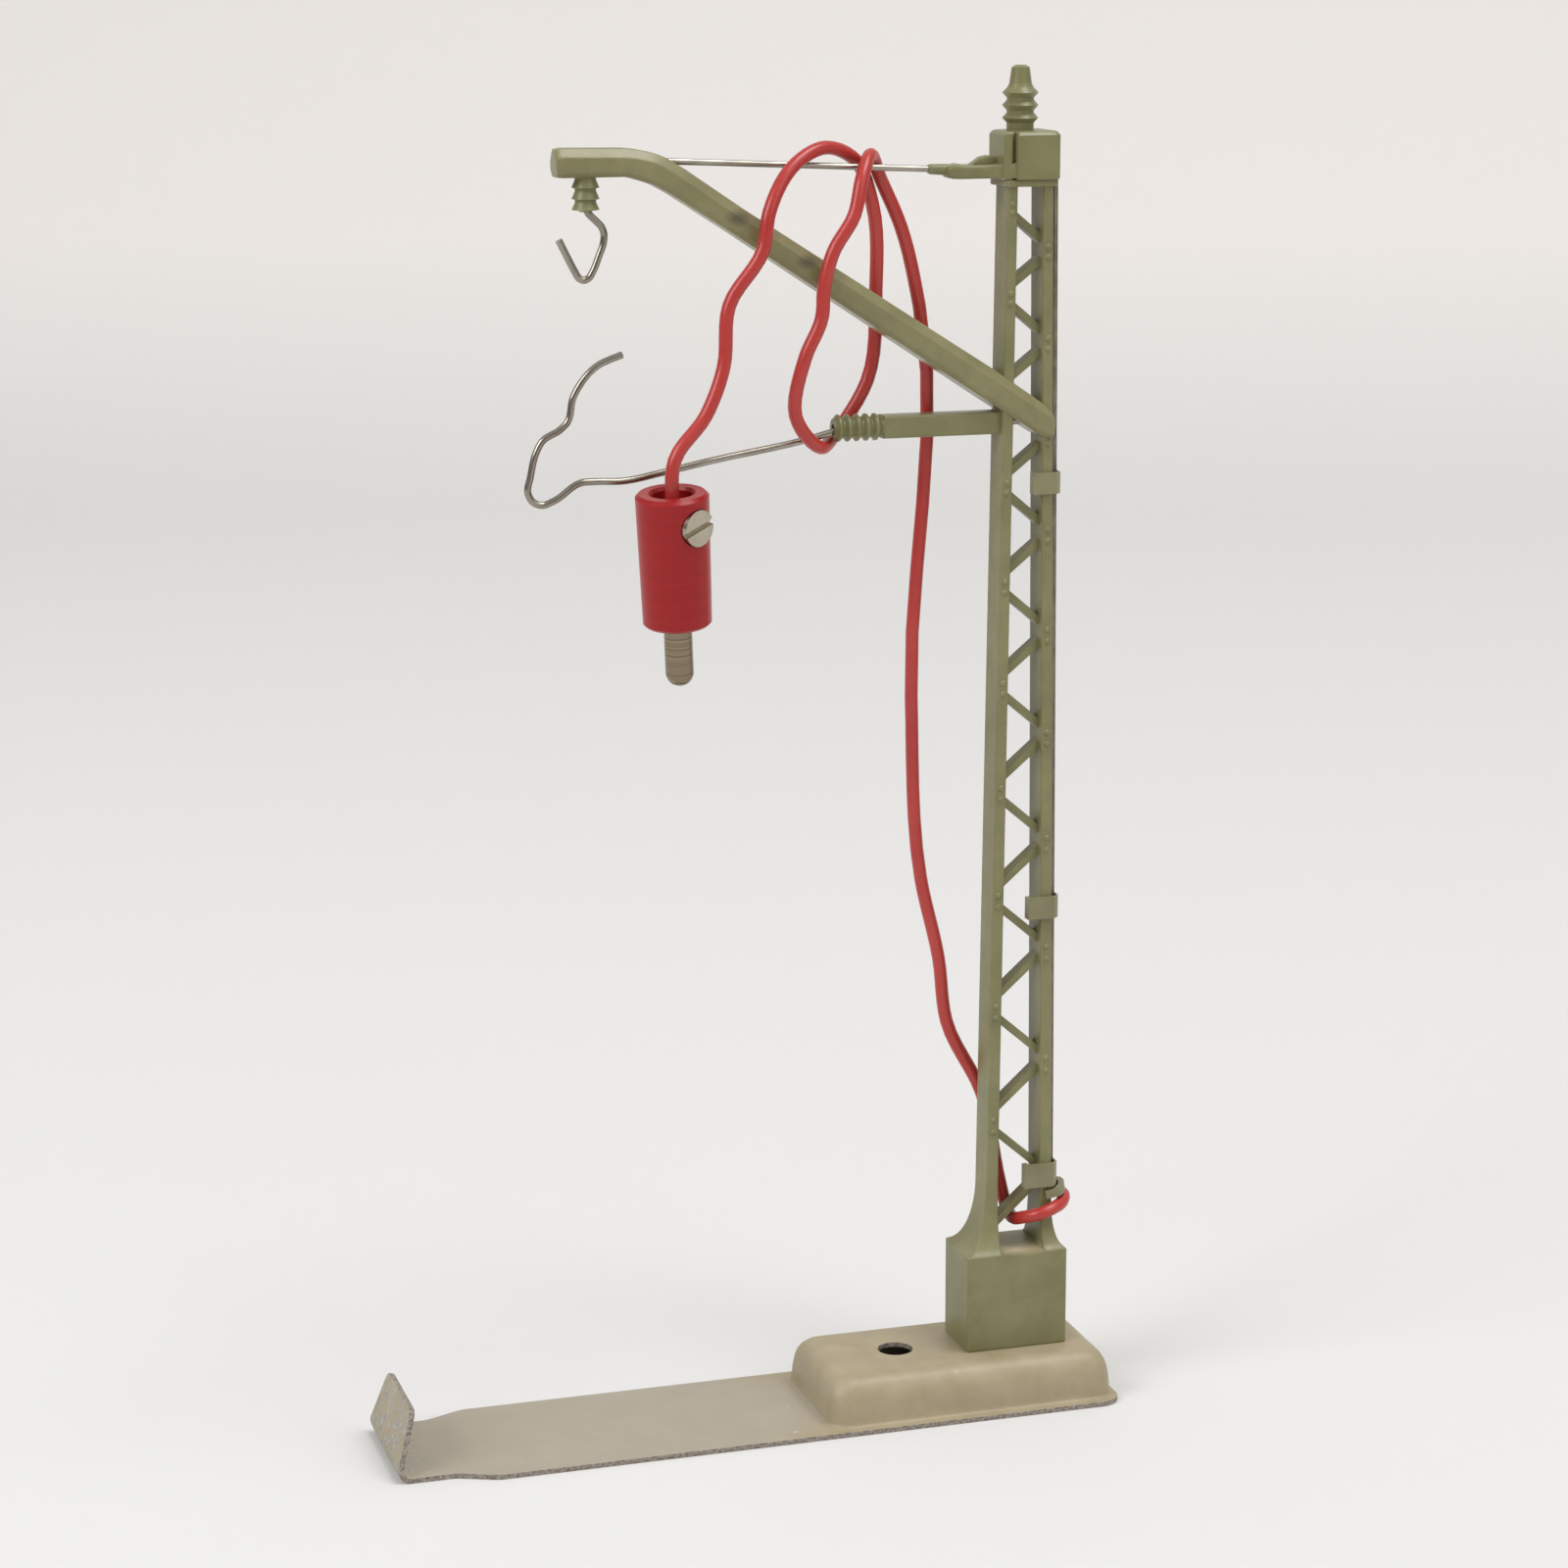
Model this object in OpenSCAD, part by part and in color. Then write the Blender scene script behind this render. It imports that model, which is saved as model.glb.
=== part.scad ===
// Model railway overhead-line mast with feeder cord: lattice mast on a pressed
// base, bracket arm, lower arm, wires, conductor strip and a plug on a cord.
// Millimetres, +Z up, mast seen from the -Y side with its arms to -X.

/* [Overall] */
// Overall height from underside of base to tip of the top insulator
overall_h = 122.0; // [100:0.5:160]
// Distance of the mast axis from the middle of the base
mast_x = 25.8; // [10:0.1:30]

/* [Base plate] */
// Length of the base, bend of the flap to far end
base_l = 68.0; // [50:0.5:90]
// Width of the wide part of the base
base_w = 16.0; // [12:0.5:20]
// Sheet thickness
sheet_t = 0.5; // [0.3:0.05:1]
// Half width of the flap's neck
neck_hw = 6.5; // [4:0.1:8]
// Height of the flap above the underside
flap_h = 6.2; // [3:0.1:10]
// Lean of the flap towards the mast
flap_lean = 17; // [0:1:30]
// Height of the top of the pressed pan
pan_h = 4.82; // [3:0.1:7]
// Radius of the hole in the pan
pan_hole_r = 1.62; // [1:0.02:2.5]
// Distance of the pan hole from the mast axis
pan_hole_dx = -11.5; // [-16:0.1:-8]

/* [Mast] */
// Half width over the chords at the top
chord_top_hw = 2.13; // [1.5:0.01:3]
// Half width over the chords at the foot
chord_foot_hw = 3.20; // [2.5:0.01:5]
// Half depth of the chords
chord_hd = 1.58; // [1:0.01:2.5]
// Chord width at the top
chord_top_w = 0.95; // [0.6:0.01:1.5]
// Chord width at the foot
chord_foot_w = 1.15; // [0.8:0.01:2]
// Number of lattice panels
panel_count = 10; // [6:1:14]
// Height of the first lattice panel
panel_first = 7.9; // [5:0.1:10]
// Growth of each panel over the one above it
panel_growth = 1.041; // [1:0.001:1.1]
// Half depth of the diagonal braces
brace_hd = 0.7; // [0.5:0.05:1.5]
// Height of the foot block's top
block_top = 14.03; // [10:0.1:18]

/* [Wires] */
// Radius of the hook and steady wire
wire_r = 0.32; // [0.2:0.01:0.5]
// Radius of the straight stay rod
rod_r = 0.28; // [0.2:0.01:0.5]
// Radius of the cord over its insulation
cord_r = 0.61; // [0.4:0.01:1]
// Radius of the cord's bare conductor
core_r = 0.30; // [0.1:0.01:0.5]

/* [Plug] */
// Radius of the plug pin
pin_r = 1.25; // [1:0.01:2.2]
// Length of the pin that stands out of the sleeve
pin_l = 5.6; // [3:0.1:12]
// Length of the plug sleeve
sleeve_l = 11.8; // [8:0.1:16]
// Radius of the sleeve at its top
sleeve_top_r = 3.2; // [2.5:0.05:4]
// Radius of the sleeve at its pin end
sleeve_end_r = 3.0; // [2.5:0.05:4]
// Radius of the clamp screw's head
clamp_head_r = 1.6; // [1:0.05:2]

/* [Hidden] */
eps = 0.02;
big = 60;
$fn = 48;

olive = [0.51, 0.49, 0.35];
olive_light = [0.55, 0.53, 0.40];
base_grey = [0.66, 0.62, 0.52];
steel = [0.70, 0.70, 0.70];
strip_grey = [0.45, 0.43, 0.36];
brass_col = [0.72, 0.62, 0.38];
nickel = [0.62, 0.58, 0.52];
red_cord = [0.72, 0.25, 0.24];
red_sleeve = [0.69, 0.18, 0.18];
tin = [0.75, 0.75, 0.73];

// Base plan, measured from the middle of the base
taper_start = -25.2;
taper_end = -28.9;
bend_in_r = 0.7;
bend_out_r = bend_in_r + sheet_t;
bend_angle = 90 + flap_lean;
flap_foot_hw = 6.4;
flap_top_hw = 4.95;
flap_corner_r = 1.0;
end_corner_r = 2.0;
pan_x0 = 5.8;
pan_x1 = 33.6;
pan_foot_hw = 7.1;
pan_corner_r = 1.9;
bend_x = -base_l / 2 + bend_out_r;

// Mast levels, from the underside of the base
chord_top_z = 111.0;
chord_foot_z = 20.0;
ledge_z = 111.6;
cap_z = 112.2;
cap_top_z = 116.4;
tenon_top_z = 115.4;
node_z = 109.4;
block_x0 = -5.52;
block_x1 = 4.24;
block_hd = 3.18;
left_flare_z = 20.3;
right_flare_z = 17.3;
brace_h = 0.95;
brace_overlap = 0.5;

// Lower arm
lower_arm_z = 90.9;
lower_arm_h = 2.03;
lower_arm_hd = 1.0;
lower_arm_x = -13.2;
wire_bore_r = wire_r + 0.01;
rod_bore_r = rod_r + 0.01;

// Conductor strip, offset from the chord's outer face at the top and at the foot
strip_gap_top = 0.40;
strip_gap_foot = 0.12;
strip_t = 0.35;
strip_hd = 0.7;
strip_foot_z = 18.2;
clip_t = 0.45;
clip_levels = [[84.5, 1.9], [45.5, 2.0], [19.8, 2.2]];

// Fastening of the mast
screw_x = -0.64;
screw_r = 0.8;
screw_head_r = 1.4;
screw_head_h = 1.0;
screw_tip_z = 9.8;
washer_t = 0.3;
washer_r = 2.0;

// Stay rod between the bracket arm and the head cap
rod_left = [-38.9, 0, 114.61];
rod_right = [-1.6, 0, 112.84];

// Bracket arm: top edge, bottom edge and half depth at each station
arm_stations = [
    [[-42.5, 115.3], [-42.4, 113.4], 1.10],
    [[-42.0, 115.6], [-42.0, 113.1], 1.35],
    [[-36.3, 115.5], [-36.4, 113.1], 1.35],
    [[-34.4, 115.2], [-35.3, 112.8], 1.38],
    [[-32.9, 114.75], [-34.1, 112.45], 1.42],
    [[-31.2, 113.7], [-32.5, 111.65], 1.46],
    [[-26.0, 110.2], [-27.3, 108.3], 1.60],
    [[-2.9, 95.5], [-3.9, 93.0], 2.12],
    [[1.5, 92.5], [1.2, 89.7], 2.12],
    [[2.35, 91.9], [2.35, 89.3], 2.10]
];
arm_top_bevel = 0.8;
arm_bottom_bevel = 0.4;

// Catenary hook and steady wire, middle lines in the mast plane
hook_points = [
    [-39.7, 114.5], [-39.7, 112.0], [-39.72, 110.6], [-39.5, 110.12],
    [-38.85, 109.45], [-38.33, 108.9], [-38.12, 108.3], [-38.15, 107.7],
    [-38.6, 106.4], [-39.13, 105.16], [-39.5, 104.6], [-39.92, 104.43],
    [-40.35, 104.6], [-40.68, 105.12], [-41.4, 106.5], [-42.09, 107.88]
];
steady_points = [
    [2.72, 90.9], [-12.0, 90.9], [-16.6, 90.9], [-18.2, 90.45],
    [-29.27, 88.42], [-33.07, 87.69], [-36.76, 87.08], [-39.2, 87.15],
    [-40.4, 87.1], [-42.9, 85.6], [-43.9, 85.3], [-44.68, 85.6],
    [-45.12, 86.4], [-44.88, 87.8], [-44.28, 90.0], [-43.8, 90.8],
    [-42.2, 91.75], [-41.6, 92.3], [-41.0, 94.5], [-40.5, 95.4],
    [-38.7, 97.2], [-37.76, 97.6], [-36.63, 97.98]
];

// Cord, middle line from the lug at the mast foot to the plug
cord_route = [
    [4.8, 0.9, 18.42], [4.9, -0.3, 18.27], [4.2, -1.6, 18.0], [3.0, -2.45, 17.8],
    [1.7, -2.6, 17.45], [0.6, -1.6, 16.95], [0.05, 0.2, 16.4], [0.0, 1.8, 17.0],
    [-0.2, 2.6, 18.6], [-0.6, 2.8, 22.6], [-2.2, 2.8, 28.0], [-5.7, 2.8, 35.2],
    [-6.5, 2.8, 41.2], [-8.3, 2.8, 49.0], [-9.3, 2.8, 66.0], [-8.6, 2.9, 90.0],
    [-8.7, 2.9, 101.0], [-10.5, 2.7, 108.0], [-12.7, 2.0, 112.4], [-14.2, 0.1, 114.5],
    [-15.7, -2.0, 112.6], [-16.7, -2.7, 109.6], [-19.5, -2.9, 104.4], [-21.5, -2.8, 97.0],
    [-21.4, -2.0, 91.9], [-18.9, -0.4, 89.3], [-16.7, 2.25, 90.15], [-13.6, 2.8, 94.6],
    [-12.8, 2.8, 102.5], [-13.4, 2.1, 110.2], [-15.2, 1.3, 114.0], [-18.2, 0.1, 115.2],
    [-21.4, -1.3, 114.0], [-24.3, -2.9, 110.0], [-24.9, -3.1, 106.9], [-28.0, -3.2, 102.2],
    [-28.6, -3.4, 96.9], [-30.3, -3.9, 93.0], [-33.3, -4.5, 89.3], [-33.6, -4.5, 85.3]
];
cord_steps = 2;
cord_sides = 8;

// Plug: middle of the sleeve's pin end, and the tilt of its axis
plug_pos = [-32.8, -3.2, 74.9];
plug_tilt = [6.84, -3.93, 0];
sleeve_bore_r = 1.85;
core_top = 10.3;
clamp_z = 9.2;
clamp_turn = 28;
clamp_shank_r = 0.8;
clamp_out = 3.3;
clamp_in = 1.95;

// Small helpers for curves

function unit(v) = v / norm(v);

function chord_hw(z) =
    chord_top_hw
    + (chord_top_z - z) * (chord_foot_hw - chord_top_hw)
      / (chord_top_z - chord_foot_z);

function chord_w(z) =
    chord_top_w
    + (chord_top_z - z) * (chord_foot_w - chord_top_w)
      / (chord_top_z - chord_foot_z);

function strip_x(z) =
    chord_hw(z) + strip_gap_top
    + (chord_top_z - z) * (strip_gap_foot - strip_gap_top) / (chord_top_z - chord_foot_z);

function panel_z(i) =
    node_z - panel_first * (pow(panel_growth, i) - 1) / (panel_growth - 1);

function slope(p, i) =
    i == 0 ? unit(p[1] - p[0])
    : i == len(p) - 1 ? unit(p[i] - p[i - 1])
    : let(a = norm(p[i] - p[i - 1]), b = norm(p[i + 1] - p[i]))
      (a * unit(p[i + 1] - p[i]) + b * unit(p[i] - p[i - 1])) / (a + b);

function between(p, i, t) =
    let(d = norm(p[i + 1] - p[i]))
    (2 * pow(t, 3) - 3 * t * t + 1) * p[i]
    + (pow(t, 3) - 2 * t * t + t) * d * slope(p, i)
    + (3 * t * t - 2 * pow(t, 3)) * p[i + 1]
    + (pow(t, 3) - t * t) * d * slope(p, i + 1);

function smooth(p, steps) = [
    for (i = [0 : len(p) - 2], k = [0 : steps - 1]) between(p, i, k / steps),
    p[len(p) - 1]
];

function along(p, i) =
    i == 0 ? unit(p[1] - p[0])
    : i == len(p) - 1 ? unit(p[i] - p[i - 1])
    : unit(unit(p[i + 1] - p[i]) + unit(p[i] - p[i - 1]));

function across(n, t) = unit(n - (n * t) * t);

// One side direction for each ring, carried along the path without twisting
function side_dirs(p, first) = [
    for (i = 0, n = across(first, along(p, 0));
         i < len(p);
         i = i + 1, n = i < len(p) ? across(n, along(p, i)) : n) n
];

function ring(c, t, n, r, sides) =
    let(b = cross(t, n))
    [for (k = [0 : sides - 1])
        c + r * (cos(360 * k / sides) * n + sin(360 * k / sides) * b)];

// A closed skin through rings that all have the same number of points
module skin(rings) {
    sides = len(rings[0]);
    last = len(rings) - 1;
    points = [for (loop = rings) each loop];
    walls = [for (i = [0 : last - 1], k = [0 : sides - 1])
        [i * sides + k, (i + 1) * sides + k,
         (i + 1) * sides + (k + 1) % sides, i * sides + (k + 1) % sides]];
    start = [for (k = [0 : sides - 1]) k];
    finish = [for (k = [sides - 1 : -1 : 0]) last * sides + k];
    polyhedron(points, concat([start], walls, [finish]), convexity = 10);
}

module tube(path, r, sides, first) {
    n = side_dirs(path, first);
    skin([for (i = [0 : len(path) - 1]) ring(path[i], along(path, i), n[i], r, sides)]);
}

module at_mast() {
    translate([mast_x, 0, 0]) children();
}

// Draws a shape given in the mast plane and gives it a depth of 2 * hd
module plane_extrude(hd) {
    rotate([90, 0, 0]) linear_extrude(2 * hd, center = true) children();
}

module rounded_rect(x0, x1, hw, r) {
    translate([(x0 + x1) / 2, 0])
        offset(r = r) square([x1 - x0 - 2 * r, 2 * (hw - r)], center = true);
}

// Base plate: strip, pressed pan and flap

module pan_level(inset, z, wall) {
    translate([0, 0, z])
        linear_extrude(0.01)
            rounded_rect(pan_x0 + inset + wall, pan_x1 - inset - wall,
                         pan_foot_hw - inset - wall, pan_corner_r - wall);
}

module pan_solid(wall, drop) {
    hull() {
        pan_level(0, -eps * drop, wall);
        pan_level(0.1, sheet_t, wall);
        pan_level(0.3, pan_h - 1.7 - wall, wall);
        pan_level(0.75, pan_h - 0.65 - wall, wall);
        pan_level(2.0, pan_h - 0.01 - wall, wall);
    }
}

function end_corner(side) = [
    for (a = [-90 : 15 : 0])
        [base_l / 2 - end_corner_r * (1 - cos(a)),
         side * (base_w / 2 - end_corner_r * (1 + sin(a)))]
];

module base_plan() {
    back = end_corner(1);
    polygon(concat(
        [[bend_x, -neck_hw], [taper_end, -neck_hw], [taper_start, -base_w / 2]],
        end_corner(-1),
        [for (i = [len(back) - 1 : -1 : 0]) back[i]],
        [[taper_start, base_w / 2], [taper_end, neck_hw], [bend_x, neck_hw]]
    ));
}

module flap() {
    straight = (flap_h - bend_out_r) / cos(flap_lean) - 0.2;
    translate([bend_x, 0, bend_out_r])
        rotate([90, 0, 0])
            rotate([0, 0, 270])
                mirror([0, 1, 0])
                    rotate_extrude(angle = bend_angle)
                        translate([bend_in_r, -flap_foot_hw])
                            square([sheet_t, 2 * flap_foot_hw]);
    translate([bend_x, 0, bend_out_r])
        rotate([0, flap_lean, 0])
            translate([-bend_out_r, 0, 0])
                rotate([90, 0, 90])
                    linear_extrude(sheet_t)
                        polygon([
                            [-flap_foot_hw, 0], [flap_foot_hw, 0],
                            [flap_top_hw + 0.25, straight - flap_corner_r],
                            [flap_top_hw - flap_corner_r, straight],
                            [-flap_top_hw + flap_corner_r, straight],
                            [-flap_top_hw - 0.25, straight - flap_corner_r]
                        ]);
}

module base_plate() {
    color(base_grey) {
        difference() {
            union() {
                linear_extrude(sheet_t) base_plan();
                pan_solid(0, 0);
            }
            pan_solid(sheet_t, 1);
            translate([mast_x + pan_hole_dx, 0, 0]) cylinder(h = pan_h + 1, r = pan_hole_r);
            translate([mast_x + screw_x, 0, 0]) cylinder(h = pan_h + 1, r = screw_r + 0.05);
        }
        flap();
    }
}

// Mast: foot block, chords, braces, ledge and tenon

function flare(corner, reach, top, drop, side) = [
    for (a = [0 : 10 : 90])
        [corner - side * reach * cos(a), top - drop * sin(a)]
];

module mast_face() {
    left = flare(block_x0, -(chord_hw(left_flare_z) + block_x0) * -1,
                 left_flare_z, left_flare_z - block_top, 1);
    right = flare(block_x1, block_x1 - chord_hw(right_flare_z),
                  right_flare_z, right_flare_z - block_top, 1);
    polygon(concat(
        [[-chord_hw(ledge_z), ledge_z]],
        left,
        [[block_x0, pan_h], [block_x1, pan_h]],
        [for (i = [len(right) - 1 : -1 : 0]) right[i]],
        [[chord_hw(ledge_z), ledge_z]]
    ));
}

module mast_side() {
    drop = left_flare_z - block_top;
    reach = block_hd - chord_hd;
    half = flare(block_hd, reach, left_flare_z, drop, 1);
    polygon(concat(
        [[chord_hd, ledge_z]],
        half,
        [[block_hd, pan_h], [-block_hd, pan_h]],
        [for (i = [len(half) - 1 : -1 : 0]) [-half[i][0], half[i][1]]],
        [[-chord_hd, ledge_z]]
    ));
}

module lattice_window() {
    top_hw = chord_hw(ledge_z - 1) - chord_w(ledge_z - 1);
    foot_hw = chord_hw(block_top) - chord_w(block_top);
    polygon([[-top_hw, ledge_z - 1], [top_hw, ledge_z - 1],
             [foot_hw, block_top], [-foot_hw, block_top]]);
}

function inner_hw(z) = chord_hw(z) - chord_w(z);

// A brace whose top edge meets the inner face of one chord at z_a and of the
// other chord at z_b, carried on a little into each
module brace(side, z_a, z_b) {
    x_a = inner_hw(z_a);
    x_b = inner_hw(z_b);
    rise = brace_overlap * (z_a - z_b) / (x_a + x_b);
    polygon([[side * (x_a + brace_overlap), z_a + rise],
             [side * (x_a + brace_overlap), z_a - brace_h + rise],
             [-side * (x_b + brace_overlap), z_b - brace_h - rise],
             [-side * (x_b + brace_overlap), z_b - rise]]);
}

module braces() {
    for (i = [0 : panel_count - 1]) {
        z = panel_z(i);
        p = panel_z(i) - panel_z(i + 1);
        brace(-1, z + 0.02 * p, z - (0.235 + 0.006 * i) * p);
        brace(1, z - (0.62 - 0.01 * i) * p + brace_h, z - 0.86 * p + brace_h);
    }
}

module mast() {
    color(olive) at_mast() difference() {
        union() {
            intersection() {
                plane_extrude(block_hd) difference() {
                    mast_face();
                    lattice_window();
                }
                rotate([90, 0, 90]) linear_extrude(2 * big, center = true) mast_side();
            }
            plane_extrude(brace_hd) braces();
            translate([-2.45, -2.2, ledge_z]) cube([4.8, 4.4, cap_z - ledge_z]);
            translate([-1.4, -1.6, cap_z]) cube([2.8, 3.2, tenon_top_z - cap_z]);
        }
        translate([-1.9 - eps, -strip_hd - 0.05, cap_z]) cube([4, 2 * strip_hd + 0.1, strip_t + 0.02]);
        translate([-4, 0, lower_arm_z]) rotate([0, 90, 0]) cylinder(h = 8, r = wire_bore_r);
        translate([screw_x, 0, 0]) cylinder(h = screw_tip_z + 0.2, r = screw_r);
    }
}

module mast_screw() {
    head_top = pan_h - sheet_t - washer_t;
    color(steel) at_mast() translate([screw_x, 0, 0]) difference() {
        union() {
            translate([0, 0, head_top - screw_head_h]) cylinder(h = screw_head_h, r = screw_head_r);
            translate([0, 0, head_top - eps]) cylinder(h = screw_tip_z - head_top, r = screw_r - 0.01);
        }
        translate([-screw_head_r, -0.2, head_top - screw_head_h - eps])
            cube([2 * screw_head_r, 0.4, 0.45]);
    }
}

module screw_washer() {
    color(steel) at_mast() translate([screw_x, 0, pan_h - sheet_t - washer_t]) difference() {
        cylinder(h = washer_t, r = washer_r);
        translate([0, 0, -eps]) cylinder(h = washer_t + 1, r = screw_r + 0.05);
    }
}

// Head cap with its tongue, and the top insulator

module along_rod(r, over) {
    run = rod_right - rod_left;
    translate(rod_left)
        rotate([0, 90 + atan2(-run[2], run[0]), 0])
            translate([0, 0, -over]) cylinder(h = norm(run) + 2 * over, r = r);
}

module cap_block() {
    intersection() {
        translate([0, 0, cap_z])
            linear_extrude(cap_top_z - cap_z)
                polygon([[-2.75, -2.2], [-1.62, -2.2], [-1.62, -2.65], [2.2, -2.65],
                         [2.45, -2.4], [2.45, 2.4], [2.2, 2.65], [-0.9, 2.65], [-2.75, 1.9]]);
        rotate([90, 0, 90]) linear_extrude(big, center = true)
            polygon([[-2.7, cap_z], [2.7, cap_z], [2.7, cap_top_z - 0.5],
                     [2.2, cap_top_z], [-2.2, cap_top_z], [-2.7, cap_top_z - 0.5]]);
    }
}

module cap_tongue() {
    translate([0, 0, 112.3]) linear_extrude(1.3)
        polygon([[-1.5, -2.4], [-2.6, -1.8], [-3.8, -1.2], [-6.9, -1.2], [-7.4, -0.7],
                 [-7.4, 0.7], [-6.9, 1.2], [-3.8, 1.2], [-2.6, 1.8], [-1.5, 2.4]]);
    plane_extrude(0.4) polygon([[-1.9, 113.5], [-5.2, 113.5], [-4.2, 114.2], [-3.4, 114.3], [-1.9, 113.8]]);
    translate([-9.0, 0, 113.19]) rotate([0, 92.7, 0]) cylinder(h = 2, r = 0.45);
}

module head_cap() {
    color(olive_light) at_mast() difference() {
        union() {
            cap_block();
            cap_tongue();
        }
        translate([-1.42, -1.62, cap_z - eps]) cube([2.84, 3.24, tenon_top_z - cap_z + 0.04]);
        translate([-1.92, -strip_hd - 0.05, cap_z - eps]) cube([6, 2 * strip_hd + 0.1, strip_t + 0.04]);
        along_rod(rod_bore_r, 0.05);
    }
}

module top_insulator() {
    color(olive) at_mast() translate([-0.5, 0, cap_top_z])
        rotate_extrude()
            polygon([[0, 0], [1.2, 0], [1.2, 0.65], [1.6, 1.05], [1.2, 1.5], [1.2, 1.7],
                     [1.6, 2.15], [1.2, 2.6], [1.2, 2.8], [1.6, 3.24], [1.15, 3.7],
                     [1.0, 4.0], [0.8, 5.4], [0.45, overall_h - cap_top_z], [0, overall_h - cap_top_z]]);
}

module stay_rod() {
    color(steel) at_mast() along_rod(rod_r, 0);
}

// Bracket arm with its insulator and hook

function arm_loop(s) =
    let(top = s[0], low = s[1], hd = s[2],
        dir = unit(top - low),
        shoulder = top - arm_top_bevel * dir,
        heel = low + arm_bottom_bevel * dir,
        flat = hd - arm_top_bevel * 0.8,
        sole = hd - arm_bottom_bevel)
    [
        [top[0], -flat, top[1]], [shoulder[0], -hd, shoulder[1]],
        [heel[0], -hd, heel[1]], [low[0], -sole, low[1]],
        [low[0], sole, low[1]], [heel[0], hd, heel[1]],
        [shoulder[0], hd, shoulder[1]], [top[0], flat, top[1]]
    ];

module mast_slot() {
    plane_extrude(chord_hd + 0.01)
        polygon([[-chord_hw(85) - 0.01, 85], [-chord_hw(100) - 0.01, 100], [10, 100], [10, 85]]);
}

module bracket_arm() {
    color(olive) at_mast() difference() {
        skin([for (s = arm_stations) arm_loop(s)]);
        mast_slot();
        translate([lower_arm_x, -lower_arm_hd - eps, lower_arm_z - lower_arm_h])
            cube([-lower_arm_x, 2 * (lower_arm_hd + eps), 1.5 * lower_arm_h + eps]);
        along_rod(rod_bore_r, 0.05);
        translate([-39.7, 0, 113 - eps]) cylinder(h = 1.55, r = wire_bore_r);
    }
}

module upper_insulator() {
    color(olive) at_mast() translate([-39.7, 0, 0]) difference() {
        rotate_extrude()
            polygon([[0, 113.1], [0.92, 113.1], [0.92, 112.9], [1.2, 112.25], [0.92, 112.15],
                     [0.92, 111.95], [1.2, 111.3], [0.92, 111.2], [0.92, 111.0], [1.2, 110.38],
                     [0.65, 110.3], [0.55, 110.2], [0, 110.2]]);
        translate([0, 0, 110]) cylinder(h = 4, r = wire_bore_r + 0.06);
    }
}

function in_plane(p) = [for (q = p) [q[0], 0, q[1]]];

module catenary_hook() {
    color(steel) at_mast()
        tube(smooth(in_plane(hook_points), 2), wire_r, 8, [0, 1, 0]);
}

// Lower arm, its insulator and the steady wire

module lower_arm() {
    z0 = lower_arm_z - lower_arm_h / 2;
    z1 = lower_arm_z + lower_arm_h / 2;
    color(olive) at_mast() difference() {
        plane_extrude(lower_arm_hd)
            polygon([[lower_arm_x, z0], [-chord_hw(z0), z0], [-chord_hw(z1), z1], [lower_arm_x, z1]]);
        translate([-14, 0, lower_arm_z]) rotate([0, 90, 0]) cylinder(h = 13, r = wire_bore_r);
    }
}

module lower_insulator() {
    color(olive) at_mast() translate([lower_arm_x, 0, lower_arm_z]) rotate([0, -90, 0]) difference() {
        rotate_extrude()
            polygon(concat(
                [[0, 0], [1.05, 0]],
                [for (k = [0 : 4]) each [[0.88, 0.25 + 0.85 * k], [1.2, 0.55 + 0.85 * k],
                                         [1.2, 0.72 + 0.85 * k], [0.88, 0.98 + 0.85 * k]]],
                [[0.88, 4.45], [0, 4.45]]
            ));
        translate([0, 0, -eps]) cylinder(h = 5, r = wire_bore_r + 0.05);
    }
}

module steady_wire() {
    color(steel) at_mast()
        tube(smooth(in_plane(steady_points), 2), wire_r, 8, [0, 1, 0]);
}

// Conductor strip down the mast, its clips and the cord lug

module conductor_strip() {
    top_x = strip_x(cap_z);
    foot_x = strip_x(strip_foot_z);
    color(strip_grey) at_mast() plane_extrude(strip_hd)
        polygon([[foot_x, strip_foot_z], [foot_x + strip_t, strip_foot_z],
                 [top_x + strip_t, cap_z], [top_x + strip_t, cap_z + strip_t],
                 [-1.9, cap_z + strip_t], [-1.9, cap_z], [top_x, cap_z]]);
}

module strip_clip(level) {
    z = level[0];
    edge = strip_x(z) + strip_t + 0.01;
    color(olive_light) at_mast() translate([0, 0, z]) linear_extrude(level[1])
        polygon([[0.43, -1.06], [0.43, -2.05], [edge - 0.5, -2.05], [edge - 0.15, -1.75],
                 [edge + 0.13, -1.25], [edge + 0.13, 0.9], [edge, 0.9], [edge, -1.12],
                 [edge - 0.3, -1.6], [0.88, -1.6], [0.88, -1.06]]);
}

module strip_clip_1() {
    strip_clip(clip_levels[0]);
}

module strip_clip_2() {
    strip_clip(clip_levels[1]);
}

module strip_clip_3() {
    strip_clip(clip_levels[2]);
}

module cord_lug() {
    color(olive_light) at_mast() translate([2.5, 0, 19.0]) rotate([0, -10, 0])
        translate([-2.5, 0, -0.4]) linear_extrude(0.8)
            polygon([[2.5, -1.62], [3.5, -1.64], [4.1, -1.2], [4.4, -0.4], [4.45, 0.2],
                     [3.74, 0.45], [3.74, 1.0], [4.55, 0.95], [4.95, 0.3], [4.95, -0.5],
                     [4.55, -1.5], [3.9, -2.1], [2.5, -2.12]]);
}

module solder_joint() {
    color(tin) at_mast() translate([4.7, 1.35, 18.75]) scale([0.45, 0.5, 0.4]) sphere(r = 1);
}

// Cord and its bare ends

module cord() {
    color(red_cord) at_mast()
        tube(smooth(cord_route, cord_steps), cord_r, cord_sides, [0, 0, 1]);
}

module cord_core_mast() {
    color(brass_col) at_mast() translate(cord_route[0])
        rotate([-90, 0, 0]) cylinder(h = 0.6, r = core_r);
}

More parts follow.
